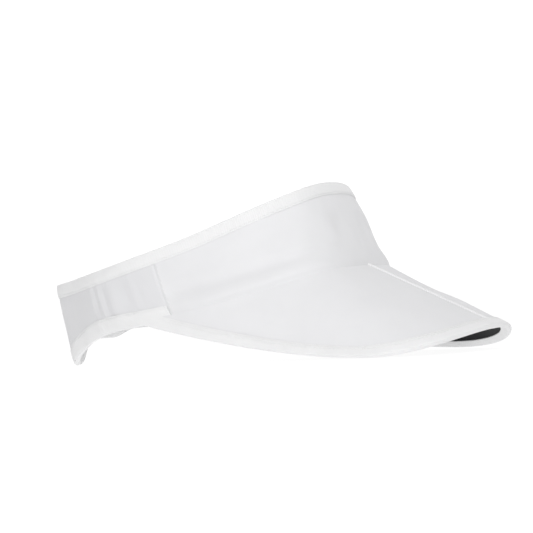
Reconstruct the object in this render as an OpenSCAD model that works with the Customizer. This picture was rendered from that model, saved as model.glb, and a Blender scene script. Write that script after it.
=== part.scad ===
/* [Base ring, where crown and brim are sewn together] */
// Forward reach of the ring at the forehead
base_front_x = 65.8; // [62:0.1:70]
// Half width of the ring at its widest
base_half_w = 75.2; // [71:0.1:80]
// Where the ring is widest
base_wide_x = 5.3; // [0:0.1:10]
// Centre back of the ring
base_rear_x = -140.5; // [-146:0.1:-134]
// Height of the ring above the floor, halfway along
base_z = 37.5; // [35:0.1:44]
// Forward rise of the ring, per mm
base_tilt = 0.214; // [0.18:0.001:0.24]
// Dish of the ring, at 100 mm from its middle
base_dish = 8.3; // [6:0.1:10]

/* [Top ring, the open upper edge] */
// Forward reach of the top edge
top_front_x = 48.2; // [44:0.1:52]
// Half width of the top edge at its widest
top_half_w = 69; // [66:0.1:72]
// Where the top edge is widest
top_wide_x = -16.8; // [-20:0.1:-10]
// Centre back of the top edge
top_rear_x = -146.9; // [-151:0.1:-142]
// Height of the top edge above the floor, halfway along
top_z = 86.2; // [84:0.1:92]
// Forward rise of the top edge, per mm
top_tilt = 0.38; // [0.34:0.001:0.42]
// Dish of the top edge, at 100 mm from its middle
top_dish = 9.4; // [7:0.1:12]

/* [Rear of the crown] */
// Half angle at which the two sides meet at centre back
rear_angle = 50; // [44:1:58]
// How far the tail hangs below the base ring
tail_drop = 20.63; // [14:0.01:22]
// Drop of the hem just behind the brim
hem_drop = 3.2; // [2:0.1:5]
// Place of the side seam at its foot, as a share of the half ring
seam_share = 0.619; // [0.6:0.001:0.66]

/* [Brim] */
// Tip of the brim
tip_x = 147.3; // [140:0.1:152]
// Height of the tip
tip_z = 15.8; // [12:0.1:20]
// Half width between the two low points
brim_half_w = 92.1; // [88:0.1:96]
// Where the low points are
brim_wide_x = 95.5; // [88:0.1:100]
// Height of the edge at the low points
brim_low_z = 1.41; // [1.41:0.01:6]
// Where the brim runs out along the side of the head
brim_end_x = -57.1; // [-62:0.1:-50]

/* [Cloth and boards] */
// Thickness of the crown cloth
cloth_t = 0.6; // [0.4:0.05:0.8]
// Thickness of the linings
lining_t = 0.4; // [0.3:0.05:0.5]
// Thickness of the sweatband
sweat_t = 1.6; // [1:0.1:2]
// Height of the sweatband
sweat_h = 26; // [18:1:30]
// Thickness of the rear elastic
elastic_t = 1.2; // [0.8:0.1:1.4]
// Width of the rear elastic
elastic_w = 14; // [12:1:16]
// Thickness of the brim board
board_t = 1.35; // [1:0.05:1.6]
// Thickness of each brim cover
cover_t = 0.5; // [0.35:0.05:0.6]
// Thickness of the binding tape
tape_t = 0.48; // [0.3:0.02:0.6]
// Width of the binding tape on each face
tape_w = 8; // [6:0.5:9]

/* [Hidden] */

gap = 0.12;             // between one layer and the next
brim_gap = 0.4;         // between the crown and the brim
fold_gap = 0.5;         // half of the slot between the two brim covers along the crease
fold_bevel = 0.62;      // widening of that slot per mm of depth, so that the halves can fold
web = 0.6;              // reach of a binding past the cloth's edge
edge_gap = 0.2;         // room between the cloth's edge and the binding's fold
seam_lean = -0.045;     // lean of the side seam over the height of the wall
seam_bow = 0.008;       // backward bow of the side seam, halfway up
tip_arch = 0.3;         // drop of the brim's edge next to the tip
flank_rise = 2;         // lift of the brim's edge ahead of its low points
tape_half = 0.026;      // half width of the seam tape, as a share of the half ring's parameter
wall_steps = 44;
step = 0.004;

white = "#f3f3f1";
black = "#202123";
grey = "#b9bbbb";

// plan outlines: two curves per half ring, forehead to widest point to centre back
base_ctrl = [
    [[base_front_x, 0], [base_front_x, -50.2], [base_wide_x + 60.8, -base_half_w],
        [base_wide_x, -base_half_w]],
    [[base_wide_x, -base_half_w], [base_wide_x - 66, -base_half_w],
        [base_rear_x + 60 * cos(rear_angle), -60 * sin(rear_angle)], [base_rear_x, 0]]];
top_ctrl = [
    [[top_front_x, 0], [top_front_x, -42.5], [top_wide_x + 49.5, -top_half_w],
        [top_wide_x, -top_half_w]],
    [[top_wide_x, -top_half_w], [top_wide_x - 67.9, -top_half_w],
        [top_rear_x + 61.9 * cos(rear_angle - 3), -61.9 * sin(rear_angle - 3)], [top_rear_x, 0]]];

function mix(a, b, t) = a + (b - a) * t;
function unit(v) = v / norm(v);
function bezier(p, t) = let (q = 1 - t)
    q * q * q * p[0] + 3 * q * q * t * p[1] + 3 * q * t * t * p[2] + t * t * t * p[3];

// r runs 0 at the forehead, 1 at the right side, 2 at centre back, 4 at the forehead again
function turn(r) = r - 4 * floor(r / 4);
function half(r) = let (t = turn(r)) t <= 2 ? t : 4 - t;
function mirror_y(r) = turn(r) <= 2 ? 1 : -1;
function outline(ctrl, s) = s <= 1 ? bezier(ctrl[0], s) : bezier(ctrl[1], s - 1);
function base(r) = let (p = outline(base_ctrl, half(r)))
    [p.x, p.y * mirror_y(r), base_z + base_tilt * p.x + base_dish * pow(p.x / 100, 2)];
function top(r) = let (p = outline(top_ctrl, half(r)))
    [p.x, p.y * mirror_y(r), top_z + top_tilt * p.x + top_dish * pow(p.x / 100, 2)];
function wall_h(r) = norm(top(r) - base(r));
function wall(r, v) = mix(base(r), top(r), v);
function wall_out(r, v) = unit(cross(wall(r, v + step) - wall(r, v - step),
    wall(r + step, v) - wall(r - step, v)));
// a point of the wall: up is the height above the base ring, d the distance out of the outer face
function wall_at(r, up, d) = let (v = up / wall_h(r)) wall(r, v) + d * wall_out(r, v);

function rear_share(r) = max(0, (brim_end_x - base(r).x) / (brim_end_x - base_rear_x));
function hem(r) = let (q = rear_share(r))
    brim_gap - (hem_drop + brim_gap) * min(1, q / 0.08) - tail_drop * pow(q, 3);
function panel_top(r) = wall_h(r) - web;
seam_foot = 2 * seam_share;
function seam(v) = seam_foot + seam_lean * v + seam_bow * sin(180 * v);

function flat(rows) = [for (row = rows) for (p = row) p];
function quad(a, b, c, d) = [[a, b, c], [a, c, d]];

// closed skin between an outer and an inner grid of points
module slab(outer, inner) {
    n = len(outer);
    m = len(outer[0]);
    k = n * m;
    faces = concat(
        [for (i = [0 : n - 2]) for (j = [0 : m - 2]) let (a = i * m + j, b = a + m)
            each concat(quad(a, b, b + 1, a + 1), quad(k + a, k + a + 1, k + b + 1, k + b))],
        [for (i = [0 : n - 2]) let (a = i * m, b = a + m, c = a + m - 1, e = b + m - 1)
            each concat(quad(a, k + a, k + b, b), quad(c, e, k + e, k + c))],
        [for (j = [0 : m - 2]) let (a = j, b = (n - 1) * m + j)
            each concat(quad(a, a + 1, k + a + 1, k + a), quad(b, k + b, k + b + 1, b + 1))]);
    polyhedron(concat(flat(outer), flat(inner)), faces, 4);
}

// closed skin of a section swept along its stations, joined end to end when it is a ring
module sweep(stations, ring = false) {
    n = len(stations);
    m = len(stations[0]);
    last = ring ? n - 1 : n - 2;
    sides = [for (i = [0 : last]) for (j = [0 : m - 1])
        let (a = i * m, b = ((i + 1) % n) * m, j2 = (j + 1) % m)
            each quad(a + j, a + j2, b + j2, b + j)];
    arms = m / 2;
    caps = ring ? [] : [for (j = [0 : arms - 2]) each concat(
        quad(j, m - 1 - j, m - 2 - j, j + 1),
        quad((n - 1) * m + j, (n - 1) * m + j + 1, n * m - 2 - j, n * m - 1 - j))];
    polyhedron(flat(stations), concat(sides, caps), 4);
}

// a piece of wall cloth between two depths, from r0 to r1 and between two heights
module wall_cloth(r0, r1, low, high, d0, d1, n, m) {
    function p(i, j, d) = let (t = i / n, v = j / m, r = mix(r0(v), r1(v), t))
        wall_at(r, mix(low(r), high(r), v), d);
    slab([for (i = [0 : n]) [for (j = [0 : m]) p(i, j, d0)]],
        [for (i = [0 : n]) [for (j = [0 : m]) p(i, j, d1)]]);
}

// section of a binding: [distance in from the cloth's edge, distance out of the face]
function binding(depth) = let (o = gap + tape_t, i = -depth - gap - tape_t)
    [[tape_w, o], [0, o], [-web, o - 0.5], [-web, i + 0.5], [0, i], [tape_w, i],
        [tape_w, i + tape_t], [-edge_gap, i + tape_t], [-edge_gap, o - tape_t], [tape_w, o - tape_t]];
function reversed(list) = [for (i = [len(list) - 1 : -1 : 0]) list[i]];

crown_depth = cloth_t + gap + lining_t;

module front_panel() {
    color(white) wall_cloth(function(v) -seam(v), function(v) seam(v),
        function(r) brim_gap, function(r) panel_top(r), 0, -cloth_t, wall_steps, 4);
}

module front_lining() {
    d = cloth_t + gap;
    color(grey) wall_cloth(function(v) -seam(v), function(v) seam(v),
        function(r) brim_gap, function(r) panel_top(r), -d, -d - lining_t, wall_steps, 4);
}

module sweatband() {
    d = crown_depth + gap;
    reach = seam_foot - 2.4 * tape_half;
    color(white) wall_cloth(function(v) -reach, function(v) reach,
        function(r) 2 * brim_gap, function(r) sweat_h, -d, -d - sweat_t, 36, 2);
}

module top_binding() {
    section = reversed(binding(crown_depth));
    n = 96;
    color(white) sweep([for (i = [0 : n - 1]) let (r = 4 * i / n)
        [for (q = section) wall_at(r, panel_top(r) - q[0], q[1])]], true);
}

module side_seam_tape() {
    d = crown_depth + gap;
    color(white) wall_cloth(function(v) seam(v) - tape_half, function(v) seam(v) + tape_half,
        function(r) 2 * brim_gap, function(r) panel_top(r) - tape_w - 1, -d, -d - lining_t, 3, 4);
}

module rear_panel() {
    color(white) wall_cloth(function(v) seam(v) + 0.002, function(v) 1.998,
        function(r) hem(r), function(r) panel_top(r), 0, -cloth_t, 30, 4);
}

module rear_facing() {
    d = cloth_t + gap;
    color(grey) wall_cloth(function(v) seam(v) + 0.002, function(v) 1.965,
        function(r) hem(r), function(r) panel_top(r), -d, -d - lining_t, 30, 4);
}

module rear_elastic() {
    d = crown_depth + gap;
    start = seam_foot + 2.4 * tape_half;
    color(white) wall_cloth(function(v) start, function(v) 4 - start,
        function(r) panel_top(r) - tape_w - 1 - elastic_w,
        function(r) panel_top(r) - tape_w - 1, -d, -d - elastic_t, 48, 2);
}

module rear_hem_binding() {
    section = binding(crown_depth);
    start = brim_root_s + 0.012;
    n = 56;
    color(white) sweep([for (i = [0 : n]) let (r = mix(start, 4 - start, i / n))
        [for (q = section) wall_at(r, hem(r) + q[0], q[1])]]);
}

// the brim is ruled from the base ring out to its edge, which is two curves per half
brim_root_s = 1.358;
brim_end = base(brim_root_s) - [0, 0, 4];
edge_ctrl = [
    [[tip_x, 0, tip_z], [tip_x, -39.1, tip_z - tip_arch],
        [brim_wide_x + 38.6, -brim_half_w, brim_low_z + flank_rise],
        [brim_wide_x, -brim_half_w, brim_low_z]],
    [[brim_wide_x, -brim_half_w, brim_low_z], [brim_wide_x - 54.2, -brim_half_w, brim_low_z],
        brim_end + [29.4, -10.3, -7.3], brim_end]];
function edge(s) = let (u = 2 * s / brim_root_s) outline(edge_ctrl, u);
function brim(s, w) = mix(base(s), edge(s), w);
function brim_up(s, w) = unit(cross(brim(s + step, w) - brim(max(s - step, 0), w),
    brim(s, w + step) - brim(s, w - step)));
function brim_len(s) = norm(edge(s) - base(s));
// a point of the brim: out is the distance in from the edge, d the height over the upper face
function brim_at(s, in, d) = let (w = 1 - in / brim_len(s)) brim(s, w) + d * brim_up(s, w);

brim_last_s = brim_root_s - 0.025;
brim_depth = 2 * cover_t + board_t + 2 * gap;
// each layer starts a little further from the crease, which leaves room for the fold
function crease_s(depth) = (fold_gap + fold_bevel * depth) / 150;

module brim_layer(d0, d1) {
    n = 28;
    m = 3;
    function p(i, j, d, s0) = let (s = mix(s0, brim_last_s, i / n))
        brim_at(s, mix(brim_len(s) - brim_gap, web, j / m), -d);
    slab([for (i = [0 : n]) [for (j = [0 : m]) p(i, j, d1, crease_s(d1))]],
        [for (i = [0 : n]) [for (j = [0 : m]) p(i, j, d0, crease_s(d0))]]);
}

module brim_top_cover() {
    color(white) brim_layer(0, cover_t);
}

module brim_board() {
    color(grey) brim_layer(cover_t + gap, cover_t + gap + board_t);
}

module brim_under_cover() {
    color(black) brim_layer(brim_depth - cover_t, brim_depth);
}

module brim_binding() {
    section = binding(brim_depth);
    n = 40;
    color(white) sweep([for (i = [0 : n]) [for (q = section)
        let (s = mix(crease_s(max(0, -q[1])), brim_last_s, i / n),
            reach = min(1, 0.8 * brim_len(s) / tape_w))
        brim_at(s, web + q[0] * (q[0] > 0 ? reach : 1), q[1])]]);
}

module crease_piping() {
    piping_w = 1.3;
    foot = 0.35;
    head = 1.1;
    from = base(0);
    along = unit(edge(0) - from);
    up = brim_up(0, 0.5);
    reach = brim_len(0) - tape_w - 2;
    color(white) sweep([for (t = [1.5, reach])
        [for (q = [[-piping_w, foot], [-piping_w, 0.7], [-0.6, head], [0.6, head],
            [piping_w, 0.7], [piping_w, foot]]) from + along * t + up * q[1] + [0, q[0], 0]]]);
}

module other_side() {
    mirror([0, 1, 0]) children();
}

front_panel();
front_lining();
sweatband();
top_binding();
crease_piping();
side_seam_tape();  // side_seam_tape_right
other_side() side_seam_tape();  // side_seam_tape_left
rear_panel();  // rear_panel_right
other_side() rear_panel();  // rear_panel_left
rear_facing();  // rear_facing_right
other_side() rear_facing();  // rear_facing_left
rear_elastic();
rear_hem_binding();
brim_board();  // brim_board_right
other_side() brim_board();  // brim_board_left
brim_top_cover();  // brim_top_cover_right
other_side() brim_top_cover();  // brim_top_cover_left
brim_under_cover();  // brim_under_cover_right
other_side() brim_under_cover();  // brim_under_cover_left
brim_binding();  // brim_binding_right
other_side() brim_binding();  // brim_binding_left
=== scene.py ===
import math

import bpy
import numpy as np
from mathutils import Matrix, Vector


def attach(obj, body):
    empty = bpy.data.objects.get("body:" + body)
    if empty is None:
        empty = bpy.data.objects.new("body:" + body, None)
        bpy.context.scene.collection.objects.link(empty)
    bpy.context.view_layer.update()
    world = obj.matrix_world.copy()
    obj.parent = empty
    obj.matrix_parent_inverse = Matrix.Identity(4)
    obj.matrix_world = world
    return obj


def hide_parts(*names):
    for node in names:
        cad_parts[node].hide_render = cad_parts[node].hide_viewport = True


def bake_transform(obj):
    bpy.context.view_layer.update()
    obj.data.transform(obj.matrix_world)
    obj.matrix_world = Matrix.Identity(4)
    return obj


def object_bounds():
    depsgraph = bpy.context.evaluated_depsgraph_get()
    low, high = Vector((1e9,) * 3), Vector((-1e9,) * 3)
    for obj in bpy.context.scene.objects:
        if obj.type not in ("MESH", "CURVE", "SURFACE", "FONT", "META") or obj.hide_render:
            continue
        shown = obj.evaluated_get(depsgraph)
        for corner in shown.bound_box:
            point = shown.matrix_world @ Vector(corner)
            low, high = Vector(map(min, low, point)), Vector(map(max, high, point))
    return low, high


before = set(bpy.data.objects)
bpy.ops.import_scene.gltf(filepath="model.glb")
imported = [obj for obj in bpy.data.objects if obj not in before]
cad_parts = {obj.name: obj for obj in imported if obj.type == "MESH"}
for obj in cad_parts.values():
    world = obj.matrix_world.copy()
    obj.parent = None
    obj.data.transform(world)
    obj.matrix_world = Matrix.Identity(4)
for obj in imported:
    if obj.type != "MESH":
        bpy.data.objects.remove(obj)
cad_lo, cad_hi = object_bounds()

MM = 0.001

# ---------------------------------------------------------------- camera

AIM = Vector((0.27, -5.63, 57.2)) * MM      # the point at the middle of the picture
VIEW_AZIMUTH, VIEW_ELEVATION, VIEW_ROLL = 22.09, -0.2, -2.66     # degrees
VIEW_DISTANCE = 2.1615                      # metres
LENS, SENSOR_WIDTH = 234.9, 36
NEAR_CLIP, FAR_CLIP = 0.05, 50


def make_camera():
    """A long lens from the wearer's right, level with the crown and tilted a little."""
    azimuth, elevation = math.radians(VIEW_AZIMUTH), math.radians(VIEW_ELEVATION)
    back = Vector((math.sin(azimuth) * math.cos(elevation),
                   -math.cos(azimuth) * math.cos(elevation), math.sin(elevation)))
    right = Vector((math.cos(azimuth), math.sin(azimuth), 0))
    up = back.cross(right)
    roll = math.radians(VIEW_ROLL)
    right, up = (right * math.cos(roll) + up * math.sin(roll),
                 up * math.cos(roll) - right * math.sin(roll))
    turn = Matrix((right, up, back)).transposed().to_4x4()
    data = bpy.data.cameras.new("camera")
    data.lens = LENS
    data.sensor_width = SENSOR_WIDTH
    data.clip_start, data.clip_end = NEAR_CLIP, FAR_CLIP
    camera = bpy.data.objects.new("camera", data)
    camera.matrix_world = Matrix.Translation(AIM + back * VIEW_DISTANCE) @ turn
    bpy.context.collection.objects.link(camera)
    bpy.context.scene.camera = camera


# ---------------------------------------------------------------- shape, in mm

# Along the rings and the brim, r or s is 0 at the forehead, 1 at the crown's widest point on the
# right and 2 at centre back. On the left it is negative. Height goes by up in mm, or by v as a share.

# base ring, where the crown meets the brim
BASE_FRONT, BASE_HALF_W, BASE_WIDE_X, BASE_REAR = 65.8, 75.2, 5.3, -140.5
BASE_Z, BASE_TILT, BASE_DISH = 37.5, 0.214, 8.3
BASE_REAR_ANGLE = math.radians(50)
BASE_HANDLES = (50.2, 60.8, 66.0, 60.0)     # curve handles from the forehead to centre back
# top ring
TOP_FRONT, TOP_HALF_W, TOP_WIDE_X, TOP_REAR = 48.2, 69.0, -16.8, -146.9
TOP_Z, TOP_TILT, TOP_DISH = 86.2, 0.38, 9.4
TOP_REAR_ANGLE = math.radians(47)
TOP_HANDLES = (42.5, 49.5, 67.9, 61.9)
# rounding of the corner at centre back
BACK_SLOPE, BACK_ROUND = 116.0, 0.02
BACK_TRIM, BACK_TRIM_W = 1.5, 0.12
# brim
TIP_X, TIP_Z = 147.3, 15.8
BRIM_HALF_W, BRIM_WIDE_X, BRIM_LOW_Z = 92.1, 95.5, 1.41
TIP_ARCH, FLANK_RISE = 0.3, 2.0
BRIM_ROOT = 1.358           # where the brim runs out, along the half ring
BRIM_HANDLES = (39.1, 38.6, 54.2)           # at the tip, and ahead of and behind the widest point
ROOT_DROP, ROOT_HANDLE = 4.0, (29.4, -10.3, -7.3)
RUNOUT_START, RUNOUT_LIFT, RUNOUT_SHARE = 1.05, 1.0, 0.28
LEFT_FULL, LEFT_FULL_S, LEFT_FULL_W = 1.7, 0.14, 0.1        # the left half's rise by the tip
# rear hem
HEM_DROP, TAIL_DROP = 3.2, 20.63
LEFT_DROP, LEFT_SAG = 1.8, 5.2
REAR_RAISE, FRONT_RAISE = 0.8, 1.8          # of the top edge over the top ring
# side seam
SEAM_FOOT, SEAM_LEAN, SEAM_BOW = 1.238, -0.045, 0.008
SEAM_MM = 165               # mm of cloth to one unit of r near the seam
# cloth
CLOTH_T, LINING_T, TAPE_T = 0.6, 0.4, 0.48
SWEAT_T, ELASTIC_T, ELASTIC_W = 1.6, 1.2, 14.0
COVER_T, BOARD_T, GAP = 0.5, 1.35, 0.12
TAPE_W, HEM_TAPE_W, WEB = 8.0, 9.6, 0.6
CROWN_DEPTH = CLOTH_T + GAP + LINING_T
BRIM_DEPTH = 2 * COVER_T + BOARD_T + 2 * GAP
STEP = 0.002                # of r, s or v, for slopes


def ring_outline(front, half_w, wide_x, rear, rear_angle, handles):
    """Two Bezier curves, from the forehead to the widest point and on to centre back."""
    fore, ahead, behind, back = handles
    side = [wide_x, -half_w]
    return np.array([
        [[front, 0], [front, -fore], [wide_x + ahead, -half_w], side],
        [side, [wide_x - behind, -half_w],
         [rear + back * math.cos(rear_angle), -back * math.sin(rear_angle)], [rear, 0]]])


BASE_CTRL = ring_outline(BASE_FRONT, BASE_HALF_W, BASE_WIDE_X, BASE_REAR, BASE_REAR_ANGLE,
                         BASE_HANDLES)
TOP_CTRL = ring_outline(TOP_FRONT, TOP_HALF_W, TOP_WIDE_X, TOP_REAR, TOP_REAR_ANGLE, TOP_HANDLES)


def mix(a, b, t):
    return a + (b - a) * t


def smooth(t):
    t = np.clip(t, 0, 1)
    return t * t * (3 - 2 * t)


def hump(x, width):
    return np.exp(-(x / width) ** 2)


def bezier(p, t):
    t = np.asarray(t, float)[..., None]
    q = 1 - t
    return q ** 3 * p[0] + 3 * q * q * t * p[1] + 3 * q * t * t * p[2] + t ** 3 * p[3]


def outline(ctrl, s):
    """The point of a pair of Bezier curves where s runs from 0 to 2."""
    s = np.asarray(s, float)
    first = bezier(ctrl[0], np.clip(s, 0, 1))
    second = bezier(ctrl[1], np.clip(s - 1, 0, 1))
    return np.where((s <= 1)[..., None], first, second)


def unit(v):
    return v / np.linalg.norm(v, axis=-1, keepdims=True)


def ring(ctrl, z0, tilt, dish, r):
    """The ring's point at r, on a surface that tilts and dishes along x."""
    t = np.mod(np.asarray(r, float), 4)
    p = outline(ctrl, np.where(t <= 2, t, 4 - t))
    x, y = p[..., 0], p[..., 1] * np.where(t <= 2, 1, -1)
    # the cloth rounds the corner at centre back
    ahead = np.abs(t - 2)
    x = x + BACK_SLOPE * (np.sqrt(ahead ** 2 + BACK_ROUND ** 2) - ahead)
    x = x - BACK_TRIM * hump(ahead, BACK_TRIM_W)
    return np.stack([x, y, z0 + tilt * x + dish * (x / 100) ** 2], -1)


def base(r):
    return ring(BASE_CTRL, BASE_Z, BASE_TILT, BASE_DISH, r)


def top(r):
    return ring(TOP_CTRL, TOP_Z, TOP_TILT, TOP_DISH, r)


def wall_h(r):
    """Height of the plain crown wall, along its slope."""
    return np.linalg.norm(top(r) - base(r), axis=-1)


def wall(r, v):
    return mix(base(r), top(r), np.asarray(v, float)[..., None])


def wall_at(r, up, d):
    """A point up mm above the base ring and d mm out of the crown's outer face."""
    r, up, d = np.broadcast_arrays(np.asarray(r, float), up, d)
    v = up / wall_h(r)
    rise = wall(r, v + STEP) - wall(r, v - STEP)
    along = wall(r + STEP, v) - wall(r - STEP, v)
    return wall(r, v) + d[..., None] * unit(np.cross(rise, along))


def half(r):
    """The place along the half ring, from 0 at the forehead to 2 at centre back, on both sides."""
    t = np.mod(np.asarray(r, float), 4)
    return np.where(t <= 2, t, 4 - t)


def is_left(r):
    return np.mod(np.asarray(r, float), 4) > 2


def seam(v):
    """Where the side seam runs, at the share v of the wall's height."""
    return SEAM_FOOT + SEAM_LEAN * v + SEAM_BOW * np.sin(np.pi * v)


def rear_share(r):
    """How far back from the brim's root the base ring is: 1 at centre back."""
    x = base(r)[..., 0]
    start = base(BRIM_ROOT)[0]
    return np.clip((start - x) / (start - BASE_REAR), 0, None)


def hem(r):
    """Height of the lower edge: the right side curves down to the tail.

    The left side hangs higher and sags before it drops to the same tail.
    """
    q = rear_share(r)
    right = HEM_DROP + TAIL_DROP * q ** 3
    rest = HEM_DROP + TAIL_DROP - LEFT_DROP - LEFT_SAG
    left = (mix(HEM_DROP, LEFT_DROP, smooth(q / 0.25)) + LEFT_SAG * smooth((q - 0.62) / 0.15)
            + rest * smooth((q - 0.85) / 0.145) ** 1.6)
    return -np.where(is_left(r), left, right)


def panel_top(r):
    """Height of the panels' upper edge, raised at the rear and where the forehead rolls in."""
    q = half(r)
    rear = REAR_RAISE * smooth((q - 1.0) / 0.3)
    front = FRONT_RAISE * (1 - smooth((q - 0.1) / 0.5))
    return wall_h(r) - WEB + rear + front


def edge_outline():
    """Two Bezier curves, from the brim's tip to its widest point and on to its root."""
    at_tip, ahead, behind = BRIM_HANDLES
    flank = [BRIM_WIDE_X, -BRIM_HALF_W, BRIM_LOW_Z]
    root = base(BRIM_ROOT) - np.array([0, 0, ROOT_DROP])
    return np.array([
        [[TIP_X, 0, TIP_Z], [TIP_X, -at_tip, TIP_Z - TIP_ARCH],
         [BRIM_WIDE_X + ahead, -BRIM_HALF_W, BRIM_LOW_Z + FLANK_RISE], flank],
        [flank, [BRIM_WIDE_X - behind, -BRIM_HALF_W, BRIM_LOW_Z],
         root + np.array(ROOT_HANDLE), root]])


EDGE_CTRL = edge_outline()


def edge(s):
    """The brim's outer edge, opposite the point s of the base ring."""
    s = np.asarray(s, float)
    p = outline(EDGE_CTRL, np.abs(s) * 2 / BRIM_ROOT).copy()
    p[..., 1] *= np.where(s < 0, -1, 1)
    return p


def brim(s, w):
    return mix(base(s), edge(s), np.asarray(w, float)[..., None])


def brim_len(s):
    return np.linalg.norm(edge(s) - base(s), axis=-1)


def brim_at(s, inward, d):
    """A point inward mm from the brim's edge and d mm over its upper face."""
    s, inward, d = np.broadcast_arrays(np.asarray(s, float), inward, d)
    w = 1 - inward / brim_len(s)
    across = brim(s + STEP, w) - brim(s - STEP, w)
    out = brim(s, w + STEP) - brim(s, w - STEP)
    # the layers thin out and ride up where the brim runs along the side of the head
    runout = smooth((np.abs(s) - RUNOUT_START) / (BRIM_ROOT - RUNOUT_START))
    d = RUNOUT_LIFT * runout + d * mix(1.0, RUNOUT_SHARE, runout)
    # the left half lies a little fuller next to the tip
    fuller = smooth((w - 0.3) / 0.35) * (1 - 0.4 * smooth((w - 0.6) / 0.35))
    d = d + LEFT_FULL * np.where(s < 0, hump(s + LEFT_FULL_S, LEFT_FULL_W), 0) * fuller
    return brim(s, w) + d[..., None] * unit(np.cross(across, out))


# ---------------------------------------------------------------- cloth relief, in mm

ROLL_UP, ROLL_SIDE, ROLL_FRONT = 4.4, 2.8, 0.2
HOLLOW, HOLLOW_UP, HOLLOW_H = 1.4, 13.5, 4.5
# each dent's rise, its place along the half ring, its height up the wall, and its half sizes
DENTS = ((-1.2, 0.16, 27, 0.08, 8), (0.8, 0.3, 33, 0.09, 11), (-1.0, 0.42, 20, 0.09, 7),
         (0.7, 0.05, 14, 0.07, 7), (-0.4, 0.66, 30, 0.16, 9))
GATHER, GATHER_TURNS = 0.45, 66
BACK_FULL, SIDE_FULL, TAIL_FULL = 1.6, 3.0, 1.5
WELT, GROOVE = 0.3, 0.6
ROLL_IN, ROLL_IN_REACH = 2.3, 9


def seam_mm(r, up):
    """Distance behind the side seam."""
    v = up / wall_h(r)
    return (half(r) - seam(v)) * SEAM_MM


def bump(s, up, at_s, at_up, wide, high):
    return np.exp(-((s - at_s) / wide) ** 2 - ((up - at_up) / high) ** 2)


def front_relief(s, up):
    """The front panel: a soft roll above the brim, a hollow over it, and slow dents."""
    ahead = smooth((0.7 - s) / 0.4)
    x = np.clip(up, 0, None) / ROLL_UP
    size = mix(ROLL_SIDE, ROLL_FRONT, ahead) * (1 - smooth((s - 1.02) / 0.2))
    roll = size * x * np.exp(1 - x)
    depth = HOLLOW * (1 - 0.8 * ahead) * (1 - smooth((s - 1.17) / 0.06))
    hollow = -depth * hump(up - HOLLOW_UP, HOLLOW_H)
    dents = sum(rise * bump(s, up, *place) for rise, *place in DENTS)
    return roll + hollow + dents


def rear_relief(s, v):
    """The rear panel: gathers behind the side seam, and fullness behind them and at centre back."""
    share = smooth((s - 1.27) / 0.1) * (1 - smooth((s - 1.55) / 0.16))
    phase = (s - 1.26) * GATHER_TURNS + 1.5 * v + 0.9 * np.sin((s - 1.3) * 23)
    fold = np.sin(phase) + 0.5 * np.sin(phase * 0.43 + 1.0)
    full = BACK_FULL * smooth((s - 1.72) / 0.28) + SIDE_FULL * hump(s - 1.55, 0.2)
    arch = np.sin(np.pi * np.clip(v, 0, 1))
    tail = TAIL_FULL * hump(s - 2, 0.1) * (1 - smooth(v / 0.5))
    return GATHER * share * fold * arch ** 1.3 + full * arch ** 0.7 + tail


def crown_relief(r, up, seamed=True):
    """How far the crown's outer cloth stands out of the plain wall."""
    s = half(r)
    v = (up - hem(r)) / (panel_top(r) - hem(r))
    front = 1 - smooth((s - 1.2) / 0.06)
    relief = front * front_relief(s, up) + rear_relief(s, v)
    # the seam is a narrow groove behind a topstitched welt
    if seamed:
        behind = seam_mm(r, up)
        relief = relief + WELT * hump(behind + 2.2, 2.2) - GROOVE * hump(behind, 0.8)
    # the top edge rolls in a little over the forehead
    below = wall_h(r) - up
    return relief - ROLL_IN * (1 - smooth((s - 0.1) / 0.4)) * np.exp(-below / ROLL_IN_REACH)


# ---------------------------------------------------------------- materials

SHADE_SCALE, NAP_SCALE = 45, 2600           # of the noise, per metre
DARKER = 0.975              # the darkest cloth against its colour
THREAD_GAP_SHADE = 0.95          # painted shade: the colour in the gaps between threads against their top


def node_material(name):
    material = bpy.data.materials.new(name)
    material.use_nodes = True
    return material, material.node_tree.nodes, material.node_tree.links


def math_node(nodes, links, kind, a, b=None):
    """A Math node on numbers or other nodes' outputs."""
    node = nodes.new("ShaderNodeMath")
    node.operation = kind
    for k, value in enumerate((a, b)):
        if value is None:
            continue
        if isinstance(value, (int, float)):
            node.inputs[k].default_value = value
        else:
            links.new(value, node.inputs[k])
    return node.outputs[0]


def weave_height(nodes, links, u, v, period, kind):
    """Height of a weave, from the cloth's own coordinates in mm."""
    turn = 2 * math.pi / period
    if kind == "twill":
        slope = math_node(nodes, links, "ADD", u, math_node(nodes, links, "MULTIPLY", v, 0.8))
        ribs = math_node(nodes, links, "SINE", math_node(nodes, links, "MULTIPLY", slope, turn))
        cross = math_node(nodes, links, "SINE", math_node(nodes, links, "MULTIPLY", v, turn * 2))
        return math_node(nodes, links, "ADD", ribs,
                         math_node(nodes, links, "MULTIPLY", cross, 0.25))
    if kind == "rib":
        return math_node(nodes, links, "SINE", math_node(nodes, links, "MULTIPLY", v, turn))
    warp = math_node(nodes, links, "SINE", math_node(nodes, links, "MULTIPLY", u, turn))
    weft = math_node(nodes, links, "SINE", math_node(nodes, links, "MULTIPLY", v, turn))
    product = math_node(nodes, links, "MULTIPLY", warp, weft)
    return math_node(nodes, links, "ADD", product,
                     math_node(nodes, links, "MULTIPLY", warp, 0.3))


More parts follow.
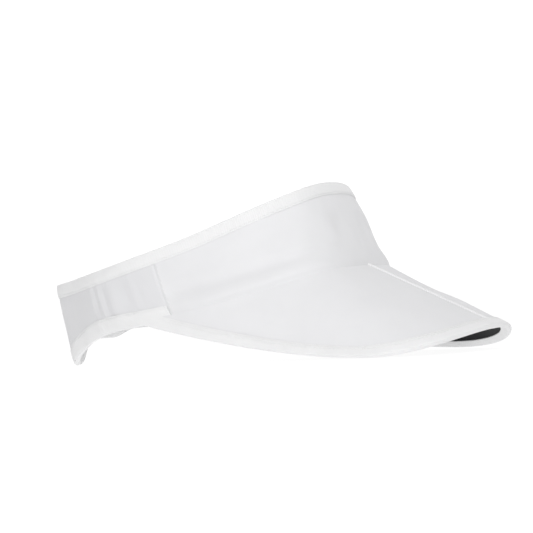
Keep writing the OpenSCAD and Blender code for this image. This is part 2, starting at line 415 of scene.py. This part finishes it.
def cloth(name, colour, period, kind="plain", depth=0.05, fuzz=0.4, sheen=0.15, gloss=0.25):
    """Woven cloth: threads at a real pitch with painted shade between them, a slight random
    unevenness of shade, and a nap.
    """
    material, nodes, links = node_material(name)
    shader = nodes["Principled BSDF"]
    shader.inputs["Roughness"].default_value = 0.9
    shader.inputs["Sheen Weight"].default_value = sheen
    shader.inputs["Sheen Roughness"].default_value = 0.6
    shader.inputs["Specular IOR Level"].default_value = gloss
    uv = nodes.new("ShaderNodeUVMap")
    uv.uv_map = "cloth"
    split = nodes.new("ShaderNodeSeparateXYZ")
    links.new(uv.outputs["UV"], split.inputs[0])
    height = weave_height(nodes, links, split.outputs["X"], split.outputs["Y"], period, kind)

    place = nodes.new("ShaderNodeTexCoord")
    shade = nodes.new("ShaderNodeTexNoise")
    shade.inputs["Scale"].default_value = SHADE_SCALE
    shade.inputs["Detail"].default_value = 3
    links.new(place.outputs["Object"], shade.inputs["Vector"])
    nap = nodes.new("ShaderNodeTexNoise")
    nap.inputs["Scale"].default_value = NAP_SCALE
    nap.inputs["Detail"].default_value = 2
    links.new(place.outputs["Object"], nap.inputs["Vector"])

    ramp = nodes.new("ShaderNodeValToRGB")
    dark = [c * DARKER for c in colour]
    ramp.color_ramp.elements[0].position = 0.3
    ramp.color_ramp.elements[0].color = (*dark, 1)
    ramp.color_ramp.elements[1].position = 0.7
    ramp.color_ramp.elements[1].color = (*colour, 1)
    links.new(shade.outputs["Fac"], ramp.inputs[0])
    thread = nodes.new("ShaderNodeMixRGB")
    thread.blend_type = "MULTIPLY"
    thread.inputs[0].default_value = 1.0
    # painted shade: the colour darkens where the weave is low, between the threads
    thread_gap_shade = nodes.new("ShaderNodeMapRange")
    thread_gap_shade.inputs["From Min"].default_value = -1.2
    thread_gap_shade.inputs["From Max"].default_value = 1.2
    thread_gap_shade.inputs["To Min"].default_value = THREAD_GAP_SHADE
    thread_gap_shade.inputs["To Max"].default_value = 1.0
    links.new(height, thread_gap_shade.inputs["Value"])
    links.new(ramp.outputs[0], thread.inputs[1])
    links.new(thread_gap_shade.outputs[0], thread.inputs[2])
    links.new(thread.outputs[0], shader.inputs["Base Color"])

    rough_high = math_node(nodes, links, "MULTIPLY", nap.outputs["Fac"], fuzz)
    total = math_node(nodes, links, "ADD", height, rough_high)
    bump = nodes.new("ShaderNodeBump")
    bump.inputs["Strength"].default_value = 0.6
    bump.inputs["Distance"].default_value = depth * MM
    links.new(total, bump.inputs["Height"])
    links.new(bump.outputs[0], shader.inputs["Normal"])
    return material


def board_material():
    """Flexible sheet: smooth with a faint moulded grain."""
    material, nodes, links = node_material("brim_board")
    shader = nodes["Principled BSDF"]
    shader.inputs["Base Color"].default_value = (0.72, 0.73, 0.73, 1)
    shader.inputs["Roughness"].default_value = 0.5
    grain = nodes.new("ShaderNodeTexNoise")
    grain.inputs["Scale"].default_value = 900
    bump = nodes.new("ShaderNodeBump")
    bump.inputs["Strength"].default_value = 0.3
    bump.inputs["Distance"].default_value = 0.05 * MM
    links.new(grain.outputs["Fac"], bump.inputs["Height"])
    links.new(bump.outputs[0], shader.inputs["Normal"])
    return material


def make_materials():
    white = (0.79, 0.79, 0.803)
    return {
        "crown_cloth": cloth("crown_cloth", white, 0.55),
        # painted shade: the rear panels' white is set darker than the front's for the shade on the
        # rear, which faces away from the light
        "rear_cloth": cloth("rear_cloth", (0.765, 0.765, 0.78), 0.5, depth=0.06),
        "brim_cloth": cloth("brim_cloth", white, 0.55),
        "under_cloth": cloth("under_cloth", (0.014, 0.015, 0.016), 0.7, depth=0.08, sheen=0.05,
                             gloss=0.12),
        "binding_tape": cloth("binding_tape", (0.85, 0.85, 0.855), 1.3, "twill", depth=0.1),
        # painted shade: the lining's whitish grey is set darker for the shade inside the crown
        "lining": cloth("lining", (0.66, 0.67, 0.66), 0.9, depth=0.1),
        "sweatband": cloth("sweatband", (0.84, 0.84, 0.83), 1.1, depth=0.2, fuzz=1.6, sheen=0.4),
        "elastic": cloth("elastic", (0.84, 0.84, 0.83), 1.0, "rib", depth=0.25),
        "thread": cloth("thread", (0.83, 0.83, 0.835), 0.5, "twill", depth=0.04),
        "brim_board": board_material(),
    }


# ---------------------------------------------------------------- mesh building

def make_object(name, points, faces, uv, slot):
    """A closed mesh from points in mm, with the cloth's own coordinates in mm as its UV map."""
    mesh = bpy.data.meshes.new(name)
    points = np.asarray(points, float)
    faces = np.asarray(faces, int)
    a, b, c, d = (points[faces[:, k]] for k in range(4))
    volume = (np.einsum("ij,ij->i", a, np.cross(b, c)).sum()
              + np.einsum("ij,ij->i", a, np.cross(c, d)).sum())
    if volume < 0:
        faces = faces[:, ::-1]
    mesh.from_pydata((points * MM).tolist(), [], faces.tolist())
    layer = mesh.uv_layers.new(name="cloth")
    layer.data.foreach_set("uv", np.asarray(uv, float)[faces.ravel()].ravel())
    mesh.polygons.foreach_set("use_smooth", [True] * len(faces))
    mesh.set_sharp_from_angle(angle=math.radians(50))
    mesh.materials.append(materials[slot])
    obj = bpy.data.objects.new(name, mesh)
    bpy.context.collection.objects.link(obj)
    return obj


def lengths(rows):
    """Length run along each row of points, from its first point."""
    run = np.linalg.norm(np.diff(rows, axis=-2), axis=-1)
    return np.concatenate([np.zeros(run.shape[:-1] + (1,)), np.cumsum(run, -1)], -1)


def shell(name, outer, inner, slot):
    """A closed skin between two grids of points, n columns by m rows."""
    n, m = outer.shape[:2]
    index = np.arange(n * m).reshape(n, m)
    k = n * m

    def strip(a, b):
        return np.stack([a[:-1], a[1:], b[1:], b[:-1]], -1).reshape(-1, 4)

    a, b, c, d = index[:-1, :-1], index[1:, :-1], index[1:, 1:], index[:-1, 1:]
    faces = [np.stack([a, b, c, d], -1).reshape(-1, 4),
             np.stack([a, d, c, b], -1).reshape(-1, 4) + k,
             strip(index[:, 0] + k, index[:, 0]), strip(index[:, -1], index[:, -1] + k),
             strip(index[0], index[0] + k), strip(index[-1] + k, index[-1])]
    along = lengths(outer.transpose(1, 0, 2)).mean(0)
    up = lengths(outer)
    uv = np.stack([np.repeat(along[:, None], m, 1), up], -1).reshape(-1, 2)
    points = np.concatenate([outer.reshape(-1, 3), inner.reshape(-1, 3)])
    return make_object(name, points, np.concatenate(faces), np.concatenate([uv, uv]), slot)


def sweep(name, stations, slot):
    """A closed skin of a section, m points round, along n stations, capped at both ends."""
    n, m = stations.shape[:2]
    index = np.arange(n * m).reshape(n, m)
    after = np.roll(index, -1, 1)
    sides = np.stack([index[:-1], index[1:], after[1:], after[:-1]], -1).reshape(-1, 4)
    low, high = np.arange(m // 2 - 1), m - 1 - np.arange(m // 2 - 1)
    cap = np.stack([low, low + 1, high - 1, high], -1)
    faces = np.concatenate([sides, cap, cap[:, ::-1] + (n - 1) * m])
    along = lengths(stations.transpose(1, 0, 2)).mean(0)
    around = lengths(stations)
    uv = np.stack([np.repeat(along[:, None], m, 1), around], -1).reshape(-1, 2)
    return make_object(name, stations.reshape(-1, 3), faces, uv, slot)


def grid(r0, r1, n, m):
    return np.meshgrid(np.linspace(r0, r1, n), np.linspace(0, 1, m), indexing="ij")


# ---------------------------------------------------------------- how pieces are baked in place

SIDES = {"right": 1, "left": -1}


def bend_front(obj, side):
    """Bakes the front cloth's place into its mesh; it does not bend."""
    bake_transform(obj)


def bend_brim(obj, side):
    """Bakes the brim layer's place into its mesh; it does not bend."""
    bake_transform(obj)


def bend_rear(obj, side):
    """Bakes the rear cloth's place into its mesh; it does not bend."""
    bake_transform(obj)


BENDS = {"front": bend_front, "rear": bend_rear, "brim": bend_brim}


# ---------------------------------------------------------------- pieces of the crown

def inner_relief(r, up):
    """The layers behind the outer cloth give way where it dips, but don't fill its rolls."""
    return np.minimum(crown_relief(r, up, seamed=False), 0)


def wall_piece(name, side, ends, low, high, d0, d1, slot, n, m, relief=crown_relief):
    """Cloth on the crown from ends[0](v) to ends[1](v), counted along the half ring."""
    t, v = grid(0, 1, n, m)
    r = mix(ends[0](v), ends[1](v), t) * SIDES[side]
    up = mix(low(r), high(r), v)
    extra = relief(r, up)
    return shell(name, wall_at(r, up, d0 + extra), wall_at(r, up, d1 + extra), slot)


def flat_size(obj):
    """Width and length in metres of the strip that obj was cut from, and its area."""
    mesh = obj.data
    area = sum(p.area for p in mesh.polygons) / 2
    uv = np.empty(len(mesh.loops) * 2)
    mesh.uv_layers["cloth"].data.foreach_get("uv", uv)
    uv = uv.reshape(-1, 2)
    width, length = (uv.max(0) - uv.min(0)) * MM
    return (float(width), float(length)), float(min(area, width * length))


def declare_sheet(obj):
    flat, area = flat_size(obj)


# the ends of a piece along the half ring, at the share v of its height

def at_forehead(v):
    return 0 * v


def at_back(v):
    return 2 + 0 * v


def behind_seam(v):
    return seam(v) + 0.001


def front_foot(r):
    """The front panel and its lining are caught just under the base ring."""
    return -0.8 + 0 * r


def make_front_panel(side):
    obj = wall_piece("front_panel_" + side, side, (at_forehead, seam), front_foot, panel_top,
                     0, -CLOTH_T, "crown_cloth", 150, 46)
    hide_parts("front_panel")
    return obj


def make_front_lining(side):
    d = CLOTH_T + GAP
    obj = wall_piece("front_lining_" + side, side, (at_forehead, seam), front_foot, panel_top,
                     -d, -d - LINING_T, "lining", 110, 30, relief=inner_relief)
    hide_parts("front_lining")
    return obj


def make_rear_panel(side):
    # painted shade: this cloth is darker to stand in for the shade on the rear
    obj = wall_piece("rear_panel_cloth_" + side, side, (behind_seam, at_back), hem, panel_top,
                     0, -CLOTH_T, "rear_cloth", 170, 30)
    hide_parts("rear_panel_" + side)
    return obj


def make_rear_facing(side):
    d = CLOTH_T + GAP
    obj = wall_piece("rear_facing_cloth_" + side, side, (behind_seam, at_back), hem, panel_top,
                     -d, -d - LINING_T, "lining", 120, 20, relief=inner_relief)
    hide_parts("rear_facing_" + side)
    return obj


SWEAT_LOW, SWEAT_HIGH = -3.0, 25.0
SWEAT_EDGE_T, SWEAT_PUFF = 0.25, SWEAT_T + 0.5
SWEAT_SEAMS, SWEAT_DRAW = (0.12, 0.88), 0.35
SWEAT_OVERLAP, SWEAT_RIDE = 0.012, 0.6      # past the side seam, and over the seam tape
ELASTIC_START, ELASTIC_WAVE = 0.06, 0.16
SEAM_TAPE_REACH = 0.05


def make_sweatband(side):
    """A padded band, drawn in along its two stitch lines. Its ends lie over the seam tape."""
    t, v = grid(0, SEAM_FOOT + SWEAT_OVERLAP, 132, 22)
    r = t * SIDES[side]
    up = mix(SWEAT_LOW, SWEAT_HIGH, v) + 0.12 * np.sin(t * 90)
    full = np.sin(np.pi * v) ** 0.45
    quilt = 1 - sum(SWEAT_DRAW * hump(v - at, 0.03) for at in SWEAT_SEAMS)
    over_tape = SWEAT_RIDE * smooth((t - SEAM_FOOT + 0.09) / 0.03)
    d = inner_relief(r, up) - CROWN_DEPTH - GAP - over_tape
    outer = wall_at(r, up, d)
    inner = wall_at(r, up, d - SWEAT_EDGE_T - SWEAT_PUFF * full * quilt)
    obj = shell("sweatband_" + side, outer, inner, "sweatband")
    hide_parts("sweatband")
    return obj


def make_elastic(side):
    """Ribbed elastic, slightly gathered into shallow waves."""
    t, v = grid(SEAM_FOOT + ELASTIC_START, 2, 330, 16)
    r = t * SIDES[side]
    high = panel_top(r) - TAPE_W - 1
    up = mix(high - ELASTIC_W, high, v)
    wave = ELASTIC_WAVE * np.sin(t * 210) * np.sin(np.pi * v)
    d = inner_relief(r, up) - CROWN_DEPTH - GAP - 0.2
    obj = shell("rear_elastic_" + side, wall_at(r, up, d + wave),
                wall_at(r, up, d - ELASTIC_T + wave), "elastic")
    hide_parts("rear_elastic")
    return obj


def make_seam_tape(side):
    """The tape that covers the side seam inside."""
    d = CROWN_DEPTH + GAP
    obj = wall_piece("seam_cover_tape_" + side, side,
                     (lambda v: seam(v) - SEAM_TAPE_REACH, lambda v: seam(v) + SEAM_TAPE_REACH),
                     lambda r: hem(r) + 2, lambda r: panel_top(r) - TAPE_W, -d, -d - LINING_T,
                     "lining", 12, 16, relief=inner_relief)
    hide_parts("side_seam_tape_" + side)
    return obj


# ---------------------------------------------------------------- bindings

TAPE_OUT, TAPE_LOFT = 0.5, 0.2              # how far a tape's face stands out, and its crown
STITCH_DIP, STITCH_DIP_W = 0.22, 0.45
LIP_DROP, LIP_W = 0.2, 0.9
FACE_POINTS, BACK_EVERY = 26, 3
STITCH_PITCH, PUCKER = 3.1, 0.09
CROWN_STITCHES = (6.9,)
HEM_STITCHES = (8.4,)
BRIM_STITCHES = (5.4, 7.1)


def tape_section(width, depth, stitches, back_share=1.0):
    """Section of a binding as (inward, outward) pairs: crowned face, rounded fold, flat back."""
    over, under = TAPE_OUT, -depth - GAP - TAPE_T
    inward = np.linspace(width, 0, FACE_POINTS)
    crown = TAPE_LOFT * np.sin(np.pi * np.clip(inward / width, 0, 1)) ** 0.7
    for place in stitches:
        crown = crown - STITCH_DIP * hump(inward - place, STITCH_DIP_W)
    crown = crown - LIP_DROP * (1 - smooth((width - inward) / LIP_W))
    face = np.stack([inward, over + crown], -1)
    turn = np.linspace(0, np.pi, 11)[1:-1]
    middle, radius = (over + under) / 2, (over - under) / 2
    fold = np.stack([-WEB * np.sin(turn), middle + radius * np.cos(turn)], -1)
    back = inward[::-1][::BACK_EVERY]
    sag = 0.4 * TAPE_LOFT * np.sin(np.pi * back / width)
    back = np.stack([back * back_share, under - sag], -1)
    inner = [[width * back_share, under + TAPE_T], [0.05, under + TAPE_T], [0.05, 0.08],
             [width, 0.08]]
    return np.concatenate([face, fold, back, inner])


def pucker(along, inward, width):
    """The small swellings that stitches draw up in a tape."""
    share = np.clip(inward / width, 0, 1)
    slow = 0.6 + 0.4 * np.sin(along * 0.21 + 1.3)
    return PUCKER * slow * np.sin(2 * np.pi * along / STITCH_PITCH) * (0.3 + 0.7 * share)


def tape_along(name, r, place, section, width=TAPE_W):
    """A binding along stations r, where place(r, inward, outward) is a point of it."""
    rr = np.repeat(r[:, None], len(section), 1)
    inward = np.repeat(section[None, :, 0], len(r), 0)
    outward = np.repeat(section[None, :, 1], len(r), 0)
    line = place(rr, inward * 0, outward * 0)[:, 0]
    along = lengths(line[None])[0][:, None]
    outward = outward + np.where(outward > 0, pucker(along, inward, width), 0)
    return sweep(name, place(rr, inward, outward), "binding_tape")


def tape_relief(r, up, outward):
    """A binding's face follows the outer cloth, and its back follows the layers inside."""
    behind = inner_relief(r, up)
    facing = smooth(1 + outward / (CROWN_DEPTH + GAP))
    return behind + (crown_relief(r, up, seamed=False) - behind) * facing


def top_place(r, inward, outward):
    """A point of the top binding, inward mm below the panels' top edge."""
    up = panel_top(r) - inward
    return wall_at(r, up, outward + tape_relief(r, up, outward))


def hem_place(r, inward, outward):
    """A point of the hem binding, inward mm above the rear panels' lower edge."""
    up = hem(r) + inward
    relief = tape_relief(r, up, outward)
    wave = 0.25 * np.sin(half(r) * 47) * smooth((half(r) - 1.4) / 0.2)
    # the tape starts inside the side seam
    tucked = 0.45 * (1 - smooth((half(r) - SEAM_FOOT) / 0.04))
    return wall_at(r, up, outward + relief + wave - tucked)


def brim_place(s, inward, outward):
    """A point of the brim's binding. The tape narrows where the brim is narrower than the tape."""
    reach = np.clip((brim_len(s) - 0.2) / TAPE_W, 0.05, 1)
    # the tape closes to a flat end where it's caught in the hem
    close = 0.12 + 0.88 * np.sqrt(smooth((BRIM_ROOT - np.abs(s)) / 0.05))
    return brim_at(s, WEB + np.where(inward > 0, inward * reach, inward * close), outward * close)


def make_top_binding(side, part):
    split = SEAM_FOOT + SEAM_LEAN
    start, end = {"front": (0, split), "rear": (split, 2)}[part]
    r = np.linspace(start, end, 220) * SIDES[side]
    obj = tape_along(f"top_binding_{part}_{side}", r, top_place,
                     tape_section(TAPE_W, CROWN_DEPTH, CROWN_STITCHES))
    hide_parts("top_binding")
    return obj


def make_hem_binding(side):
    r = np.linspace(SEAM_FOOT - 0.001, 2, 220) * SIDES[side]
    obj = tape_along("rear_hem_binding_" + side, r, hem_place,
                     tape_section(HEM_TAPE_W, CROWN_DEPTH, HEM_STITCHES), HEM_TAPE_W)
    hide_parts("rear_hem_binding")
    return obj


def make_brim_binding(side):
    s = np.linspace(0, BRIM_ROOT, 420) * SIDES[side]
    obj = tape_along("brim_edge_tape_" + side, s, brim_place,
                     tape_section(TAPE_W, BRIM_DEPTH, BRIM_STITCHES, back_share=0.72))
    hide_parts("brim_binding_" + side)
    return obj


# ---------------------------------------------------------------- pieces of the brim

CREASE_W, CREASE_H = 1.0, 1.3
RIDGE_H, RIDGE_W = 0.45, 1.6                # how the top cover rises to the crease
# where each layer runs out along the half ring
TOP_END, BOARD_END, UNDER_END = BRIM_ROOT - 0.01, BRIM_ROOT - 0.1, BRIM_ROOT - 0.04


def brim_layer(name, side, d0, d1, last, slot, n=150, m=60):
    """One layer of the brim between depths d0 and d1, from the crease to the place last."""
    t, w = grid(0, 1, n, m)
    s = last * t ** 1.2 * SIDES[side]
    length = brim_len(s)
    inward = mix(length - 0.2, WEB + 0.1, w)
    ridge = RIDGE_H * np.exp(-np.abs(brim_at(s, inward, 0)[..., 1]) / RIDGE_W)
    lift = ridge if d0 == 0 else 0
    outer = brim_at(s, inward, -d0 + lift)
    return shell(name, outer, brim_at(s, inward, -d1 + lift), slot)


def make_top_cover(side):
    obj = brim_layer("brim_top_cloth_" + side, side, 0, COVER_T, TOP_END, "brim_cloth")
    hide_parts("brim_top_cover_" + side)
    return obj


def make_board(side):
    d = COVER_T + GAP
    obj = brim_layer("brim_stiffener_" + side, side, d, d + BOARD_T, BOARD_END, "brim_board",
                     n=80, m=24)
    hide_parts("brim_board_" + side)
    return obj


def make_under_cover(side):
    obj = brim_layer("brim_under_cloth_" + side, side, BRIM_DEPTH - COVER_T, BRIM_DEPTH,
                     UNDER_END, "under_cloth")
    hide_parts("brim_under_cover_" + side)
    return obj


def make_crease_piping():
    """The raised, edge-stitched fold down the middle of the brim, made in the whiter tape cloth as a
    painted highlight along its ridge.
    """
    foot, tip = base(0), edge(0)
    along = unit(tip - foot)
    up = np.array([-along[2], 0, along[0]])
    reach = np.linalg.norm(tip - foot) - TAPE_W + WEB
    t = np.linspace(-0.4, reach, 160)
    around = np.linspace(0, 2 * np.pi, 20, endpoint=False)
    narrow = np.cos(around) * CREASE_W * (0.55 + 0.45 * np.cos(around) ** 2)
    high = CREASE_H * np.sin(around) - 0.1
    ends = np.minimum(1, np.sqrt(np.clip((reach - t) / 3, 0, 1)) + 0.3)
    beat = 1 + 0.06 * np.sin(2 * np.pi * t / STITCH_PITCH)
    stations = (foot + along * t[:, None, None]
                + up * (high[None, :, None] * (ends * beat)[:, None, None])
                + np.array([0, 1, 0]) * narrow[None, :, None])
    # painted highlight: the ridge takes the whiter tape cloth so it reads as a bright line
    obj = sweep("crease_ridge", stations, "binding_tape")
    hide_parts("crease_piping")
    return obj


# ---------------------------------------------------------------- stitching

STITCH_LONG, STITCH_R = 2.3, 0.2
STITCH_SUNK, STITCH_ARCH = 0.06, 0.12
BEAD_STEPS, BEAD_ROUND = 7, 6
SEAM_STITCH = -2.3          # mm behind the side seam, so it lies on the front panel


def stitches(name, r, place):
    """A row of thread stitches, each a small bead sunk into the cloth at both ends."""
    line, over = place(r, 0.0), place(r, 1.0)
    run = lengths(line[None])[0]
    count = int((run[-1] - 1) / STITCH_PITCH)
    steps = np.linspace(0, np.pi, BEAD_STEPS)
    around = np.linspace(0, 2 * np.pi, BEAD_ROUND, endpoint=False)
    bead = np.arange(BEAD_STEPS * BEAD_ROUND).reshape(BEAD_STEPS, BEAD_ROUND)
    points, faces, uv = [], [], []
    for k in range(count):
        middle = 1 + (k + 0.5) * STITCH_PITCH
        at = middle - np.cos(steps) * STITCH_LONG / 2
        centre = np.stack([np.interp(at, run, line[:, c]) for c in range(3)], -1)
        head = np.stack([np.interp(at, run, over[:, c]) for c in range(3)], -1)
        out = unit(head - centre)
        ahead = unit(np.gradient(centre, axis=0))
        across = np.cross(ahead, out)
        radius = STITCH_R * np.sin(steps) ** 0.5 + 0.01
        centre = centre + out * (STITCH_ARCH * np.sin(steps) - STITCH_SUNK)[:, None]
        loop = (centre[:, None] + across[:, None] * (np.cos(around)[None, :, None]
                                                     * radius[:, None, None])
                + out[:, None] * (np.sin(around)[None, :, None] * radius[:, None, None]))
        index = len(points) * bead.size + bead
        after = np.roll(index, -1, 1)
        faces.append(np.stack([index[:-1], index[1:], after[1:], after[:-1]], -1).reshape(-1, 4))
        for row, flip in ((0, 1), (-1, -1)):
            cap = index[row]
            faces.append(np.array([[cap[0], cap[1], cap[2], cap[3]],
                                   [cap[0], cap[3], cap[4], cap[5]]])[:, ::flip])
        points.append(loop.reshape(-1, 3))
        uv.append(np.stack([np.repeat(at, BEAD_ROUND),
                            np.tile(around, BEAD_STEPS) * STITCH_R], -1))
    return make_object(name, np.concatenate(points), np.concatenate(faces),
                       np.concatenate(uv), "thread")


def tape_stitches(name, r, place, inward):
    """A row of stitches on a binding's face, inward mm from the bound edge."""
    return stitches(name, r, lambda q, d: place(q, inward + 0 * q, TAPE_OUT + d + 0 * q))


def make_crown_stitches(side):
    split = SEAM_FOOT + SEAM_LEAN
    sign = SIDES[side]
    made = []
    for part, start, end in (("front", 0.003, split), ("rear", split, 1.995)):
        r = np.linspace(start, end, 400) * sign
        made.append((tape_stitches(f"top_stitching_{part}_{side}", r, top_place,
                                   CROWN_STITCHES[0]), part))
    r = np.linspace(BRIM_ROOT, 1.995, 300) * sign
    made.append((tape_stitches("hem_stitching_" + side, r, hem_place, HEM_STITCHES[0]), "rear"))

    def on_welt(v, d):
        r = (seam(v) + SEAM_STITCH / SEAM_MM) * sign
        up = v * wall_h(r)
        return wall_at(r, up, crown_relief(r, up) + d)

    v = np.linspace(0.06, 0.78, 60)
    made.append((stitches("seam_stitching_front_" + side, v, on_welt), "front"))
    return made


def make_brim_stitches(side):
    made = []
    for k, inward in enumerate(BRIM_STITCHES):
        s = np.linspace(0.01, BRIM_ROOT - 0.1, 700) * SIDES[side]
        made.append(tape_stitches(f"brim_stitching_{k + 1}_{side}", s, brim_place, inward))
    return made


# ---------------------------------------------------------------- stage and light

# light from all round, from the far side, from above and from ahead of the brim
TENT_ALL, TENT_BACK, TENT_TOP, TENT_FRONT = 0.25, 1.0, 0.63, 0.18
TENT_FOCUS = 2              # how fast each share falls off with the angle
KEY_PLACE, KEY_POWER = (0.4, -1.88, 0.08), 20.5
FILL_PLACE, FILL_POWER = (0.6, -1.2, 1.4), 7.8
LAMP_SIZE, LAMP_AIM = 1.2, (0, 0, 0.05)
FLOOR_GREY, FLOOR_GLOW = 0.1, 0.95
FLOOR_HALF, FLOOR_GAP = 12.0, 0.0003


def make_floor():
    """A floor that glows almost white, so that only a faint shadow shows on it."""
    mesh = bpy.data.meshes.new("floor")
    r = FLOOR_HALF
    mesh.from_pydata([(-r, -r, 0), (r, -r, 0), (r, r, 0), (-r, r, 0)], [], [(0, 1, 2, 3)])
    material, nodes, links = node_material("floor")
    shader = nodes["Principled BSDF"]
    shader.inputs["Base Color"].default_value = (FLOOR_GREY, FLOOR_GREY, FLOOR_GREY, 1)
    shader.inputs["Roughness"].default_value = 1.0
    shader.inputs["Specular IOR Level"].default_value = 0.0
    shader.inputs["Emission Color"].default_value = (1, 1, 1, 1)
    shader.inputs["Emission Strength"].default_value = FLOOR_GLOW
    mesh.materials.append(material)
    floor = bpy.data.objects.new("floor", mesh)
    floor.location = (0, 0, cad_lo.z - FLOOR_GAP)
    bpy.context.collection.objects.link(floor)


def area_light(name, place, power):
    data = bpy.data.lights.new(name, "AREA")
    data.shape = "SQUARE"
    data.size = LAMP_SIZE
    data.energy = power
    light = bpy.data.objects.new(name, data)
    light.location = place
    toward = Vector(LAMP_AIM) - Vector(place)
    light.rotation_euler = toward.to_track_quat("-Z", "Y").to_euler()
    bpy.context.collection.objects.link(light)


def make_light():
    """A soft tent of light, a low lamp beside the camera and a weaker one over the brim."""
    world = bpy.data.worlds.new("studio")
    world.use_nodes = True
    nodes, links = world.node_tree.nodes, world.node_tree.links
    background = nodes["Background"]
    background.inputs["Color"].default_value = (1, 1, 1, 1)
    place = nodes.new("ShaderNodeTexCoord")
    split = nodes.new("ShaderNodeSeparateXYZ")
    links.new(place.outputs["Generated"], split.inputs[0])
    total = TENT_ALL
    for axis, strength in (("Y", TENT_BACK), ("Z", TENT_TOP), ("X", TENT_FRONT)):
        share = math_node(nodes, links, "MAXIMUM", split.outputs[axis], 0)
        share = math_node(nodes, links, "POWER", share, TENT_FOCUS)
        share = math_node(nodes, links, "MULTIPLY", share, strength)
        total = math_node(nodes, links, "ADD", share, total)
    links.new(total, background.inputs["Strength"])
    bpy.context.scene.world = world
    bpy.context.scene.view_settings.view_transform = "Standard"
    area_light("key", KEY_PLACE, KEY_POWER)
    area_light("fill", FILL_PLACE, FILL_POWER)


# ---------------------------------------------------------------- build

SHEETS = ("front_panel", "front_lining", "rear_panel_cloth", "rear_facing_cloth",
          "brim_top_cloth", "brim_under_cloth")


def make_crown(side):
    """One side of the crown, as pairs of a piece and its part, front or rear."""
    pieces = [
        (make_front_panel(side), "front"),
        (make_front_lining(side), "front"),
        (make_sweatband(side), "front"),
        (make_top_binding(side, "front"), "front"),
        (make_top_binding(side, "rear"), "rear"),
        (make_rear_panel(side), "rear"),
        (make_rear_facing(side), "rear"),
        (make_elastic(side), "rear"),
        (make_hem_binding(side), "rear"),
        (make_seam_tape(side), "front")]
    return pieces + make_crown_stitches(side)


def make_brim(side):
    """One side of the brim, as pairs of a piece and its part."""
    pieces = [make_top_cover(side), make_board(side), make_under_cover(side),
              make_brim_binding(side)]
    return [(obj, "brim") for obj in pieces + make_brim_stitches(side)]


materials = make_materials()
make_camera()
make_light()
make_floor()

for side in SIDES:
    for obj, part in make_crown(side) + make_brim(side):
        BENDS[part](obj, side)
    for name in SHEETS:
        declare_sheet(bpy.data.objects[f"{name}_{side}"])

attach(make_crease_piping(), "crown")
